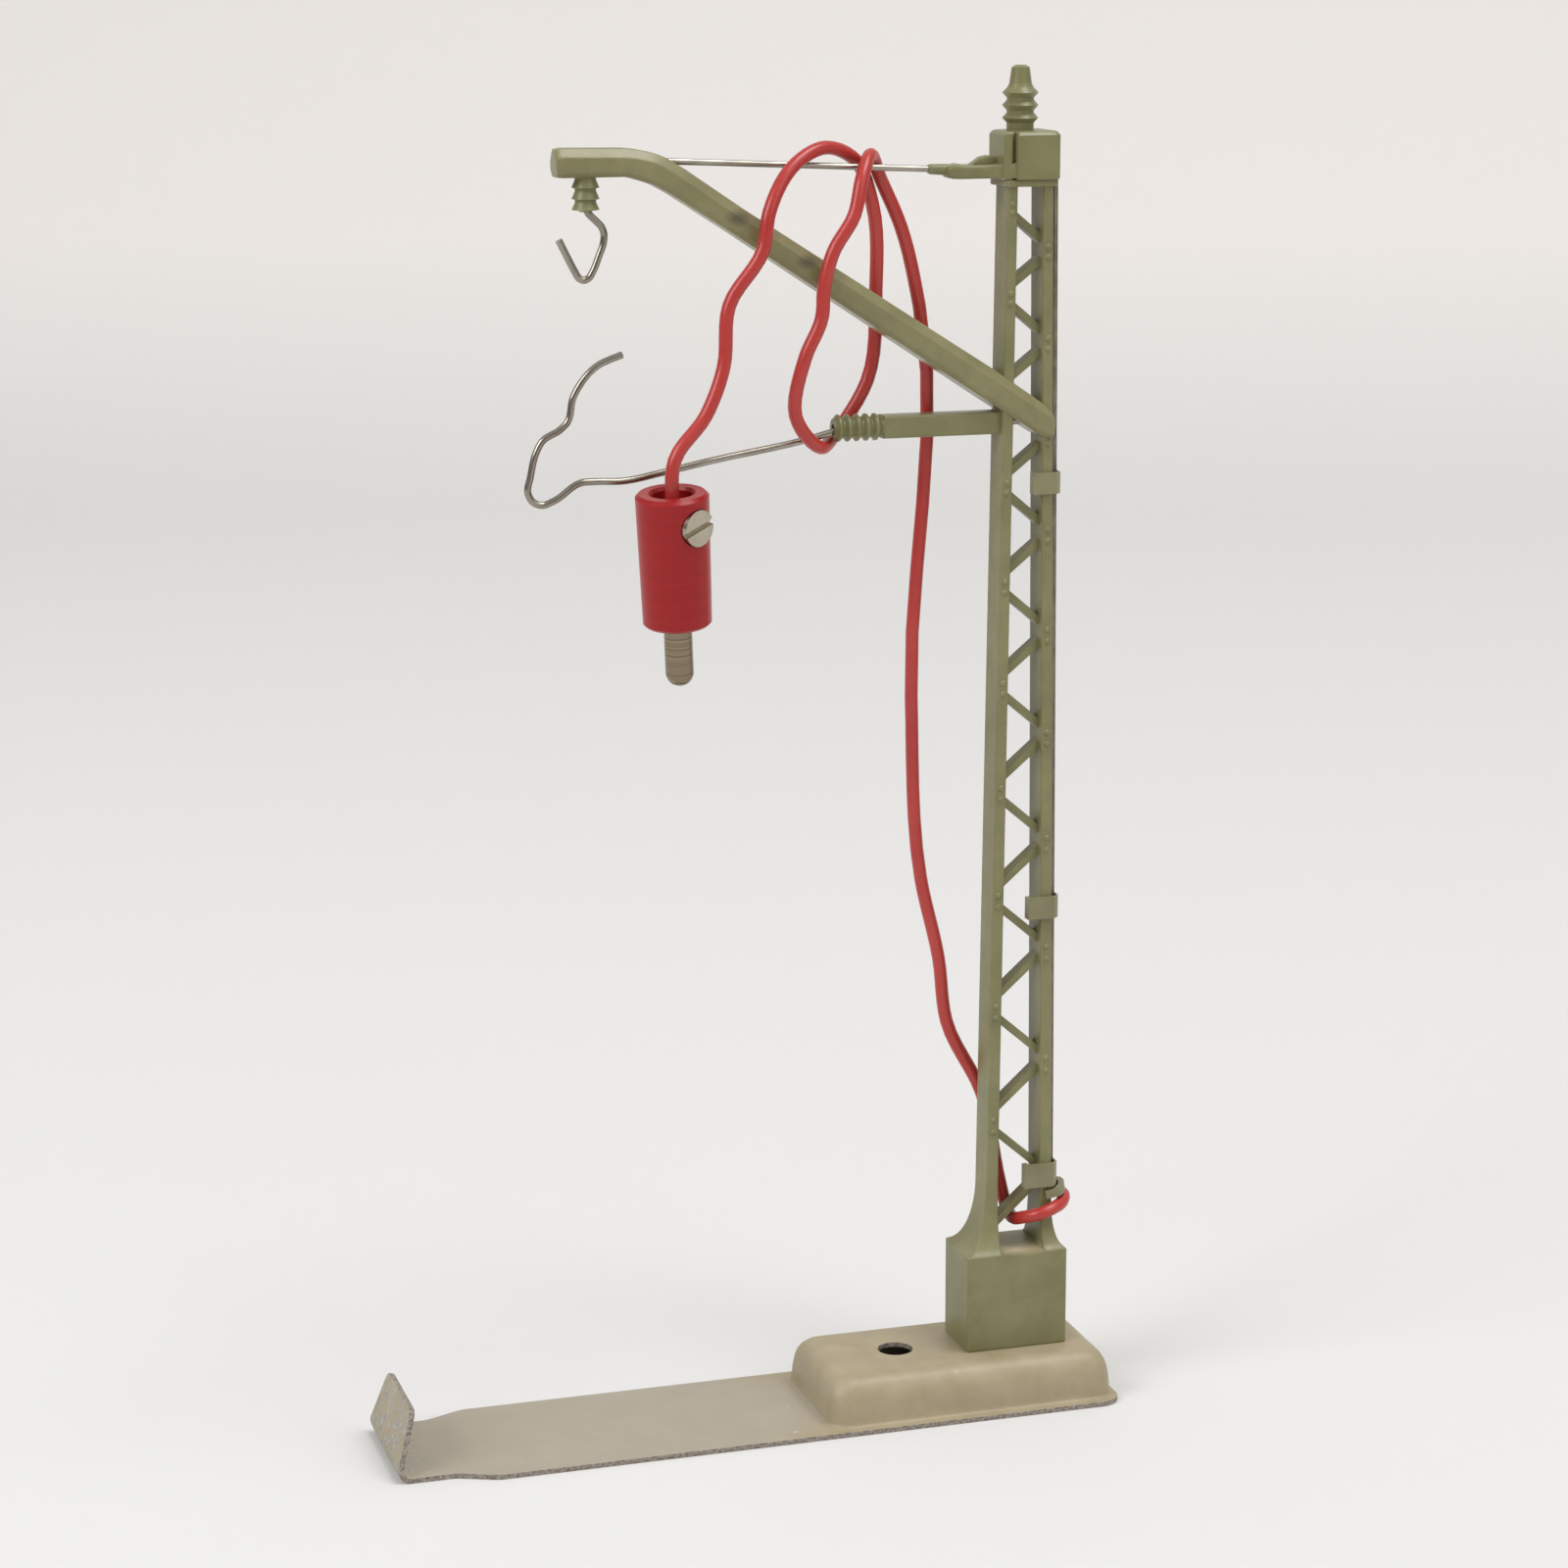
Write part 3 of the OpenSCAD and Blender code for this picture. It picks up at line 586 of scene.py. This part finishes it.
def chord_ring(side, z):
    """Rounded section of one chord at a height."""
    edge = min(chord_hw(z), chord_hw(LEFT_FLARE_Z if side < 0 else RIGHT_FLARE_Z))
    if side < 0:
        outer = -flare(z, LEFT_FLARE_Z, edge, -BLOCK_X0)
    else:
        outer = flare(z, RIGHT_FLARE_Z, edge, BLOCK_X1)
    inner = side * (chord_hw(z) - chord_w(z))
    depth = flare(z, LEFT_FLARE_Z, CHORD_HD, BLOCK_HD)
    corners = [Vector((outer, -depth, z)), Vector((inner, -depth, z)),
               Vector((inner, depth, z)), Vector((outer, depth, z))]
    return [at_mast(*p) for p in rounded_corners(corners, 0.2)]


def brace_ring(x, z_mid):
    """Rounded section of a brace where it meets a chord."""
    half = BRACE_H / 2
    corners = [Vector((x, -BRACE_HD, z_mid - half)), Vector((x, -BRACE_HD, z_mid + half)),
               Vector((x, BRACE_HD, z_mid + half)), Vector((x, BRACE_HD, z_mid - half))]
    return [at_mast(*p) for p in rounded_corners(corners, 0.12)]


def add_brace(bm, side, z_start, z_end):
    """A brace whose top edge meets one chord at z_start and the other at z_end."""
    first_z, last_z = z_start - BRACE_H / 2, z_end - BRACE_H / 2
    x_start = chord_hw(z_start) - chord_w(z_start)
    x_end = chord_hw(z_end) - chord_w(z_end)
    rise = BRACE_OVERLAP * (z_start - z_end) / (x_start + x_end)
    skin_rings(bm, [
        brace_ring(side * (x_start + BRACE_OVERLAP), first_z + rise),
        brace_ring(-side * (x_end + BRACE_OVERLAP), last_z - rise),
    ])


def panel_z(i):
    """Height of the top node of lattice panel i."""
    return NODE_Z - PANEL_FIRST * (PANEL_GROWTH**i - 1) / (PANEL_GROWTH - 1)


def make_mast():
    """Foot block, chords, braces, ledge and rivet heads."""
    bm = bmesh.new()
    soft_box(bm, (BLOCK_X0, -BLOCK_HD, PAN_TOP), (BLOCK_X1, BLOCK_HD, BLOCK_TOP), 0.25)
    flare_levels = [BLOCK_TOP - 0.1 + 0.28 * k for k in range(24)]
    levels = [*flare_levels, 24.0, 40.0, 60.0, 80.0, 100.0, LEDGE_Z]
    for side in (-1, 1):
        skin_rings(bm, [chord_ring(side, z) for z in levels])
    for i in range(PANEL_COUNT):
        z, p = panel_z(i), panel_z(i) - panel_z(i + 1)
        left_start, left_end = z + 0.02 * p, z - (0.235 + 0.006 * i) * p
        right_start, right_end = z - (0.62 - 0.01 * i) * p, z - 0.86 * p
        add_brace(bm, -1, left_start, left_end)
        add_brace(bm, 1, right_start + BRACE_H, right_end + BRACE_H)
        add_rivets(bm, z, p)
    soft_box(bm, LEDGE_LOW, LEDGE_HIGH, 0.2)
    return finish_piece(mesh_piece("mast_lattice", bm), OLIVE_MAST, "mast")


def add_rivets(bm, z, p):
    """Pairs of rivet heads on the chords beside the ends of the braces."""
    for side, part in RIVETS:
        level = z + part * p
        x = side * (chord_hw(level) - chord_w(level) * 0.5)
        for way in (-1, 1):
            dome(bm, (x, way * CHORD_HD, level), RIVET_RADIUS, RIVET_HEIGHT, way)


make_mast()


# ---------------------------------------------------------------- head cap

CAP_OUTLINE = [
    (-2.75, -2.15, 0.15), (-1.98, -2.2, 0.08), (-1.88, -1.75, 0.05), (-1.68, -1.75, 0.05),
    (-1.6, -2.65, 0.1), (2.42, -2.65, 0.5), (2.42, 2.65, 0.5), (-0.9, 2.65, 0.4),
    (-2.75, 1.9, 0.4),
]
CAP_LEVELS = [
    (CAP_Z, 0.12), (CAP_Z + 0.12, 0.0), (CAP_TOP_Z - 0.35, 0.0), (CAP_TOP_Z - 0.08, 0.2),
    (CAP_TOP_Z, 0.4),
]
TONGUE = [
    (-7.5, 0.45, 112.65, 113.25), (-7.35, 0.85, 112.45, 113.42), (-6.9, 1.15, 112.32, 113.5),
    (-6.4, 1.2, 112.3, 113.62), (-5.9, 1.2, 112.3, 113.5), (-3.8, 1.2, 112.3, 113.5),
    (-2.9, 1.6, 112.3, 113.6), (-2.2, 2.2, 112.3, 113.7), (-1.6, 2.4, 112.3, 113.7),
]
GUSSET = [(-5.2, 113.5), (-4.3, 114.15), (-3.6, 114.3), (-1.8, 113.95)]


def cap_ring(z, inset):
    """Outline of the cap at a level, with the groove beside its front pad."""
    shrink = 1.0 - inset / 2.6
    corners = [Vector((x * shrink, y * shrink, z)) for x, y, _ in CAP_OUTLINE]
    radii = [radius for _, _, radius in CAP_OUTLINE]
    return [at_mast(*p) for p in rounded_corners(corners, radii)]


def make_cap():
    """Cap block with its groove, the tongue for the stay rod and the gusset."""
    bm = bmesh.new()
    skin_rings(bm, [cap_ring(z, inset) for z, inset in CAP_LEVELS])
    skin_rings(bm, [square_ring(x, hd, low, high, 0.35) for x, hd, low, high in TONGUE])
    skin_rings(bm, [square_ring(x, 0.5, 113.3, top, 0.2) for x, top in GUSSET])
    sheath = []
    for x, r in ((-9.0, 0.38), (-8.8, 0.45), (-7.2, 0.5)):
        z = 113.18 + (-9.0 - x) * 0.0476
        sheath.append([at_mast(x, y, z + up) for y, up in circle(r, 16)])
    skin_rings(bm, sheath)
    return finish_piece(mesh_piece("mast_cap", bm), OLIVE, "head_cap")


make_cap()


# ------------------------------------------------------------ bracket arm

ARM_STATIONS = [
    ((-42.5, 115.2), (-42.45, 113.35), 1.05), ((-42.38, 115.5), (-42.36, 113.15), 1.25),
    ((-41.9, 115.6), (-41.9, 113.1), 1.33), ((-36.5, 115.52), (-36.5, 113.1), 1.35),
    ((-35.4, 115.4), (-35.9, 112.98), 1.36), ((-34.4, 115.2), (-35.3, 112.8), 1.38),
    ((-33.5, 114.95), (-34.6, 112.6), 1.40), ((-32.6, 114.55), (-33.9, 112.35), 1.42),
    ((-31.2, 113.7), (-32.5, 111.6), 1.46), ((-26.0, 110.2), (-27.3, 108.3), 1.60),
    ((-2.9, 95.5), (-3.9, 93.0), 2.12), ((1.5, 92.5), (1.2, 89.7), 2.12),
    ((2.2, 91.98), (2.2, 89.35), 2.08), ((2.35, 91.75), (2.35, 89.5), 1.95),
]


def make_arm():
    """The bracket arm, an eight-sided section with soft edges along its stations."""
    bm = bmesh.new()
    rings = []
    for top, low, hd in ARM_STATIONS:
        up = Vector((top[0], 0, top[1]))
        down = Vector((low[0], 0, low[1]))
        drop = (up - down).normalized()
        shoulder, heel = up - drop * 0.8, down + drop * 0.42
        side, flat, sole = Vector((0, hd, 0)), Vector((0, hd - 0.62, 0)), Vector((0, hd - 0.4, 0))
        corners = [up - flat, shoulder - side, heel - side, down - sole,
                   down + sole, heel + side, shoulder + side, up + flat]
        rings.append([at_mast(*p) for p in rounded_corners(corners, 0.12)])
    skin_rings(bm, rings)
    return finish_piece(mesh_piece("diagonal_arm", bm), OLIVE_ARM, "bracket_arm")


def make_lower_arm():
    """The short level arm with soft edges."""
    bm = bmesh.new()
    skin_rings(bm, [square_ring(x, 1.0, 89.9, 91.91, 0.25) for x in (-13.2, -2.3)])
    return finish_piece(mesh_piece("short_arm", bm), OLIVE, "lower_arm")


make_arm()
make_lower_arm()


# ------------------------------------------------------------------- wires

WIRE_RADIUS = 0.32 * MM
HOOK = [
    (-39.7, 114.5), (-39.7, 112.0), (-39.72, 110.6), (-39.5, 110.12),
    (-38.85, 109.45), (-38.33, 108.9), (-38.12, 108.3), (-38.15, 107.7),
    (-38.6, 106.4), (-39.13, 105.16), (-39.5, 104.6), (-39.92, 104.43),
    (-40.35, 104.6), (-40.68, 105.12), (-41.4, 106.5), (-42.09, 107.88),
]
STEADY = [
    (2.72, 90.9), (-12.0, 90.9), (-16.6, 90.9), (-18.2, 90.45),
    (-29.27, 88.42), (-33.07, 87.69), (-36.76, 87.08), (-39.2, 87.15),
    (-40.4, 87.1), (-42.9, 85.6), (-43.9, 85.3), (-44.68, 85.6),
    (-45.12, 86.4), (-44.88, 87.8), (-44.28, 90.0), (-43.8, 90.8),
    (-42.2, 91.75), (-41.6, 92.3), (-41.0, 94.5), (-40.5, 95.4),
    (-38.7, 97.2), (-37.76, 97.6), (-36.63, 97.98),
]


def flat_wire(name, points, node):
    """A smooth round wire in the mast plane that stands for a node."""
    path = smooth_path([at_mast(x, 0, z) for x, z in points], 6)
    return finish_piece(wire_curve(name, path, WIRE_RADIUS), WIRE, node)


flat_wire("hanger_hook", HOOK, "catenary_hook")
flat_wire("bent_steady_wire", STEADY, "steady_wire")


# -------------------------------------------------------------- base plate

BASE_X0, BASE_X1, BASE_HW = -34.0, 34.0, 8.0
SHEET = 0.5
BEND_IN = 0.7
BEND_X = BASE_X0 + BEND_IN + SHEET
NECK_HW = 6.5
FLAP_LEAN = 17
FLAP_TIP_Z = 6.15
# Part of the flap's rise and half width there, up to its clipped tip
FLAP_WIDTHS = [(0.82, 5.25), (0.93, 5.0), (0.985, 4.6), (1.0, 4.1)]
PAN_X0, PAN_X1, PAN_HW = 5.8, 33.6, 7.1
PAN_HOLE_X, PAN_HOLE_R = MAST_X - 11.5, 1.62
PAN_PROFILE = [
    (-0.22, 0.50, 2.2), (-0.06, 0.58, 2.0), (0.04, 0.80, 1.9), (0.10, 1.3, 1.85), (0.20, 2.3, 1.8),
    (0.34, 3.1, 1.75), (0.55, 3.7, 1.65), (0.88, 4.22, 1.5), (1.35, 4.60, 1.35), (1.85, 4.78, 1.25),
    (2.3, 4.82, 1.1),
]


def pan_loop(inset, z, radius, steps=6):
    """Rounded rectangle round the pan at a height."""
    x0, x1, hw = PAN_X0 + inset, PAN_X1 - inset, PAN_HW - inset
    loop = []
    for cx, cy, start in ((x1 - radius, -hw + radius, 270), (x1 - radius, hw - radius, 0),
                          (x0 + radius, hw - radius, 90), (x0 + radius, -hw + radius, 180)):
        for k in range(steps + 1):
            angle = math.radians(start + 90 * k / steps)
            x, y = cx + radius * math.cos(angle), cy + radius * math.sin(angle)
            loop.append(Vector((x, y, z)) * MM)
    return loop


def fill_between(bm, outer, inner):
    """Flat faces between two loops of vertices."""
    edges = []
    for loop in (outer, inner):
        for a, b in zip(loop, loop[1:] + loop[:1]):
            edges.append(bm.edges.get((a, b)) or bm.edges.new((a, b)))
    bmesh.ops.triangle_fill(bm, use_beauty=True, use_dissolve=False, edges=edges)


def end_corner(side, radius=2.0, steps=8):
    """Points round one corner of the square end of the sheet."""
    points = []
    for k in range(steps + 1):
        angle = math.radians(90 * k / steps)
        x = BASE_X1 - radius * (1 - math.sin(angle))
        y = BASE_HW - radius * (1 - math.cos(angle))
        points.append((x, side * y))
    return points


def sheet_outline():
    """Outline of the flat sheet, from one end of the flap's bend round to the other."""
    near = [
        (BEND_X, -NECK_HW), (-28.9, -NECK_HW), (-28.5, -6.62), (-25.6, -7.85), (-25.0, -BASE_HW),
    ]
    far = [(x, -y) for x, y in reversed(near)]
    return [*near, *end_corner(-1), *reversed(end_corner(1)), *far]


def add_row(bm, row, x, half, z):
    """One more strip of the flap, from a row of two vertices to a new row."""
    new = [bm.verts.new(Vector((x, y, z)) * MM) for y in (-half, half)]
    bm.faces.new((row[0], row[1], new[1], new[0]))
    return new


def add_flap(bm, row):
    """The bend and the leaning flap with its clipped corners."""
    for k in range(1, 9):
        angle = math.radians((90 + FLAP_LEAN) * k / 8)
        x = BEND_X - BEND_IN * math.sin(angle)
        z = SHEET + BEND_IN - BEND_IN * math.cos(angle)
        row = add_row(bm, row, x, NECK_HW - 0.1 * k / 8, z)
    rise = FLAP_TIP_Z - z
    slant = math.tan(math.radians(FLAP_LEAN))
    for part, half in FLAP_WIDTHS:
        row = add_row(bm, row, x + slant * rise * part, half, z + rise * part)


def pan_hole():
    """Points round the hole in the pan."""
    return [Vector((PAN_HOLE_X + x, y, PAN_TOP)) * MM for x, y in circle(PAN_HOLE_R, 40)]


def face_up(bm):
    """Turn all faces of the sheet to its upper side."""
    bmesh.ops.recalc_face_normals(bm, faces=bm.faces)
    if sum(f.normal.z * f.calc_area() for f in bm.faces) < 0:
        bmesh.ops.reverse_faces(bm, faces=bm.faces)


def thicken(base):
    """Give the sheet its thickness and soften its cut edges."""
    sheet = base.modifiers.new("sheet", "SOLIDIFY")
    sheet.thickness = SHEET * MM
    sheet.offset = -1.0
    sheet.material_offset_rim = 1
    rims = base.modifiers.new("rims", "BEVEL")
    rims.width = 0.07 * MM
    rims.segments = 2
    rims.limit_method = "ANGLE"
    rims.angle_limit = math.radians(50)
    rims.harden_normals = True


def make_base():
    """The pressed sheet: its upper surface, given the sheet's thickness below."""
    bm = bmesh.new()
    pan = [[bm.verts.new(p) for p in pan_loop(*level)] for level in PAN_PROFILE]
    for first, second in zip(pan, pan[1:]):
        for k in range(len(first)):
            after = (k + 1) % len(first)
            bm.faces.new((first[k], first[after], second[after], second[k]))
    hole = [bm.verts.new(p) for p in pan_hole()]
    fill_between(bm, pan[-1], hole)
    rim = [bm.verts.new(Vector((x, y, SHEET)) * MM) for x, y in sheet_outline()]
    fill_between(bm, rim, pan[0])
    add_flap(bm, [rim[0], rim[-1]])
    face_up(bm)
    mesh = bpy.data.meshes.new("base_sheet")
    bm.to_mesh(mesh)
    bm.free()
    smooth_faces(mesh)
    base = link(bpy.data.objects.new("base_sheet", mesh))
    thicken(base)
    finish_piece(base, BASE, "base_plate")
    mesh.materials.append(CUT_EDGE)
    return base


make_base()


# -------------------------------------------------------------------- plug

PLUG_PLACE = at_mast(-32.8, -3.2, 74.9)
PLUG_TURN = (
    Matrix.Rotation(math.radians(-3.93), 4, "Y") @ Matrix.Rotation(math.radians(6.84), 4, "X")
)
PIN_L, PIN_R, CORE_R, CORE_TOP = 5.6, 1.25, 1.84, 10.3


def on_plug(point):
    """A point given along the plug's own axis in millimetres, as a frame point."""
    return PLUG_PLACE + (PLUG_TURN @ point) * MM


def make_pin():
    """Turned pin with a round nose and fine ribs, and the metal core inside the sleeve."""
    bm = bmesh.new()
    nose = [
        (0.01, -PIN_L), (0.42, -PIN_L + 0.07), (0.78, -PIN_L + 0.25),
        (1.04, -PIN_L + 0.54), (1.19, -PIN_L + 0.9),
    ]
    ribs = []
    count = 34
    for k in range(count + 1):
        height = -PIN_L + 1.15 + (PIN_L - 1.3) * k / count
        ribs.append((PIN_R - (0.035 if k % 2 else 0.0), height))
    core = [
        (1.12, -0.06), (1.12, 0.02), (CORE_R, 0.04), (CORE_R, CORE_TOP - 0.15),
        (CORE_R - 0.15, CORE_TOP), (0.34, CORE_TOP), (0.34, CORE_TOP - 1.0), (0.01, CORE_TOP - 1.0),
    ]
    lathe(bm, nose + ribs + core, on_plug)
    return finish_piece(mesh_piece("turned_pin", bm), PIN_BRASS, "plug_pin")


pin = make_pin()


# ----------------------------------------------------- CAD nodes that stay

STAYING = {
    "mast_screw": WIRE,
    "screw_washer": WIRE,
    "top_insulator": OLIVE,
    "stay_rod": WIRE,
    "upper_insulator": OLIVE,
    "lower_insulator": OLIVE,
    "conductor_strip": STRIP,
    "strip_clip_1": OLIVE_METAL,
    "strip_clip_2": OLIVE_METAL,
    "strip_clip_3": OLIVE_METAL,
    "cord_lug": OLIVE_METAL,
    "solder_joint": SOLDER,
    "cord_core_mast": COPPER,
    "cord_core_plug": COPPER,
    "plug_sleeve": RED_SLEEVE,
    "plug_clamp_screw": NICKEL,
}

for node_name, node_material in STAYING.items():
    node = bpy.data.objects[node_name]
    node.data.materials.clear()
    node.data.materials.append(node_material)
